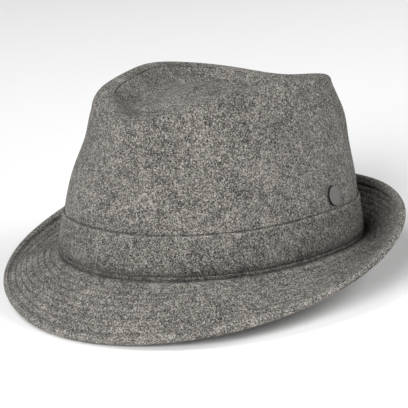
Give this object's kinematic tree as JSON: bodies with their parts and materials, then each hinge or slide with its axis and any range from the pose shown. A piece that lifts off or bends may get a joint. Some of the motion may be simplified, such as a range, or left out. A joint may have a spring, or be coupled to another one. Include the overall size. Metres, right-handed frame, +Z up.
{
  "type": "trilby hat",
  "caption": "Trilby of thick grey wool cloth with a teardrop crease, a band of the same cloth, a stitched brim turned down in front and up behind, and a small plain round badge",
  "frame": {"origin": "middle of the bottom of the bounding box, on the surface that the hat rests on", "axes": "+Z up from that surface, -Y the hat's front, +X the wearer's left"},
  "size_m": [0.2518, 0.2614, 0.1223],
  "materials": {
    "crown_cloth": "grey melange wool",
    "tip_cloth": "grey melange wool",
    "band_cloth": "grey melange wool",
    "brim_cloth": "grey melange wool, stitched in rows",
    "badge_disc": "satin"
  },
  "bodies": {
    "root": {"crown_side": "crown_cloth", "crown_tip": "tip_cloth", "hat_band": "band_cloth", "brim": "brim_cloth", "badge": "badge_disc"}
  },
  "joints": []
}
